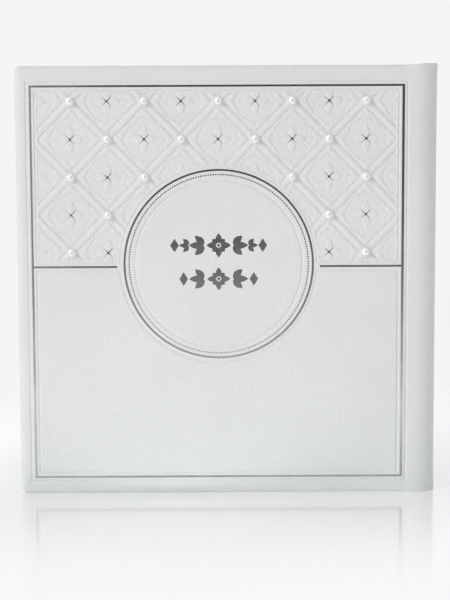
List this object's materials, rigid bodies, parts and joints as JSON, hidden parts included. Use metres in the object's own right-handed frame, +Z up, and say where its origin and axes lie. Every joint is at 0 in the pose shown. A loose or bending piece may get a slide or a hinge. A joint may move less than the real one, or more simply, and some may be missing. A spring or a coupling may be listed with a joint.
{
  "type": "prayer book",
  "caption": "Square case-bound prayer book in padded white faux leather, with a quilted, pearl-set front, a round medallion, hinged covers and sewn page sections that fan open.",
  "frame": {"origin": "under the middle of the closed book, pearls included, at the height of its bottom edge", "axes": "+Z up the standing book, from its tail to its head; the front cover faces -Y; the spine is at +X"},
  "size_m": [0.146, 0.0212, 0.15],
  "materials": {
    "cover_leather": "white coated, fine grain",
    "foam": "soft foam sheet",
    "greyboard": "raw board",
    "endpaper": "smooth heavy paper",
    "page_paper": "uncoated, cut edges",
    "mull": "open cotton weave",
    "kraft": "brown kraft",
    "band_silk": "ribbed, slight sheen",
    "thread": "waxed linen",
    "pearl": "pearlescent"
  },
  "bodies": {
    "spine": {"spine_leather": "cover_leather", "spine_foam_strip": "foam", "spine_card": "greyboard", "mull_cloth": "mull", "spine_liner": "kraft", "headband": "band_silk", "tailband": "band_silk", "section_4": "page_paper", "section_5": "page_paper", "sewing_thread_1": "thread", "sewing_thread_2": "thread", "sewing_thread_3": "thread", "sewing_thread_4": "thread"},
    "front_cover": {"front_leather": "cover_leather", "front_foam_pad": "foam", "front_board": "greyboard", "front_pastedown": "endpaper", "pearl_01": "pearl", "pearl_02": "pearl", "pearl_03": "pearl", "pearl_04": "pearl", "pearl_05": "pearl", "pearl_06": "pearl", "pearl_07": "pearl", "pearl_08": "pearl", "pearl_09": "pearl", "pearl_10": "pearl", "pearl_11": "pearl", "pearl_12": "pearl", "pearl_13": "pearl", "pearl_14": "pearl", "pearl_15": "pearl", "pearl_16": "pearl", "pearl_17": "pearl"},
    "front_flyleaf": {"front_flyleaf": "endpaper"},
    "section_1": {"section_1": "page_paper"},
    "section_2": {"section_2": "page_paper"},
    "section_3": {"section_3": "page_paper"},
    "back_cover": {"back_leather": "cover_leather", "back_foam_pad": "foam", "back_board": "greyboard", "back_pastedown": "endpaper"},
    "back_flyleaf": {"back_flyleaf": "endpaper"},
    "section_8": {"section_8": "page_paper"},
    "section_7": {"section_7": "page_paper"},
    "section_6": {"section_6": "page_paper"}
  },
  "joints": [
    {"name": "front_cover_hinge", "type": "hinge", "parent": "spine", "child": "front_cover", "pos_m": [0.0691, -0.00833, 0], "axis": [0, 0, 1], "range_deg": [0, 180]},
    {"name": "front_flyleaf_turn", "type": "hinge", "parent": "spine", "child": "front_flyleaf", "pos_m": [0.0691, -0.00833, 0], "axis": [0, 0, 1], "range_deg": [0, 158.4]},
    {"name": "section_1_turn", "type": "hinge", "parent": "spine", "child": "section_1", "pos_m": [0.0691, -0.00833, 0], "axis": [0, 0, 1], "range_deg": [0, 118.8]},
    {"name": "section_2_turn", "type": "hinge", "parent": "spine", "child": "section_2", "pos_m": [0.0691, -0.00833, 0], "axis": [0, 0, 1], "range_deg": [0, 79.2]},
    {"name": "section_3_turn", "type": "hinge", "parent": "spine", "child": "section_3", "pos_m": [0.0691, -0.00833, 0], "axis": [0, 0, 1], "range_deg": [0, 39.6]},
    {"name": "back_cover_hinge", "type": "hinge", "parent": "spine", "child": "back_cover", "pos_m": [0.0691, 0.00988, 0], "axis": [0, 0, -1], "range_deg": [0, 180]},
    {"name": "back_flyleaf_turn", "type": "hinge", "parent": "spine", "child": "back_flyleaf", "pos_m": [0.0691, 0.00988, 0], "axis": [0, 0, -1], "range_deg": [0, 158.4]},
    {"name": "section_8_turn", "type": "hinge", "parent": "spine", "child": "section_8", "pos_m": [0.0691, 0.00988, 0], "axis": [0, 0, -1], "range_deg": [0, 118.8]},
    {"name": "section_7_turn", "type": "hinge", "parent": "spine", "child": "section_7", "pos_m": [0.0691, 0.00988, 0], "axis": [0, 0, -1], "range_deg": [0, 79.2]},
    {"name": "section_6_turn", "type": "hinge", "parent": "spine", "child": "section_6", "pos_m": [0.0691, 0.00988, 0], "axis": [0, 0, -1], "range_deg": [0, 39.6]}
  ],
  "couplings": [
    {"joint": "front_flyleaf_turn", "follows": "front_cover_hinge", "ratio": 0.88},
    {"joint": "section_1_turn", "follows": "front_cover_hinge", "ratio": 0.66},
    {"joint": "section_2_turn", "follows": "front_cover_hinge", "ratio": 0.44},
    {"joint": "section_3_turn", "follows": "front_cover_hinge", "ratio": 0.22},
    {"joint": "back_flyleaf_turn", "follows": "back_cover_hinge", "ratio": 0.88},
    {"joint": "section_8_turn", "follows": "back_cover_hinge", "ratio": 0.66},
    {"joint": "section_7_turn", "follows": "back_cover_hinge", "ratio": 0.44},
    {"joint": "section_6_turn", "follows": "back_cover_hinge", "ratio": 0.22}
  ]
}
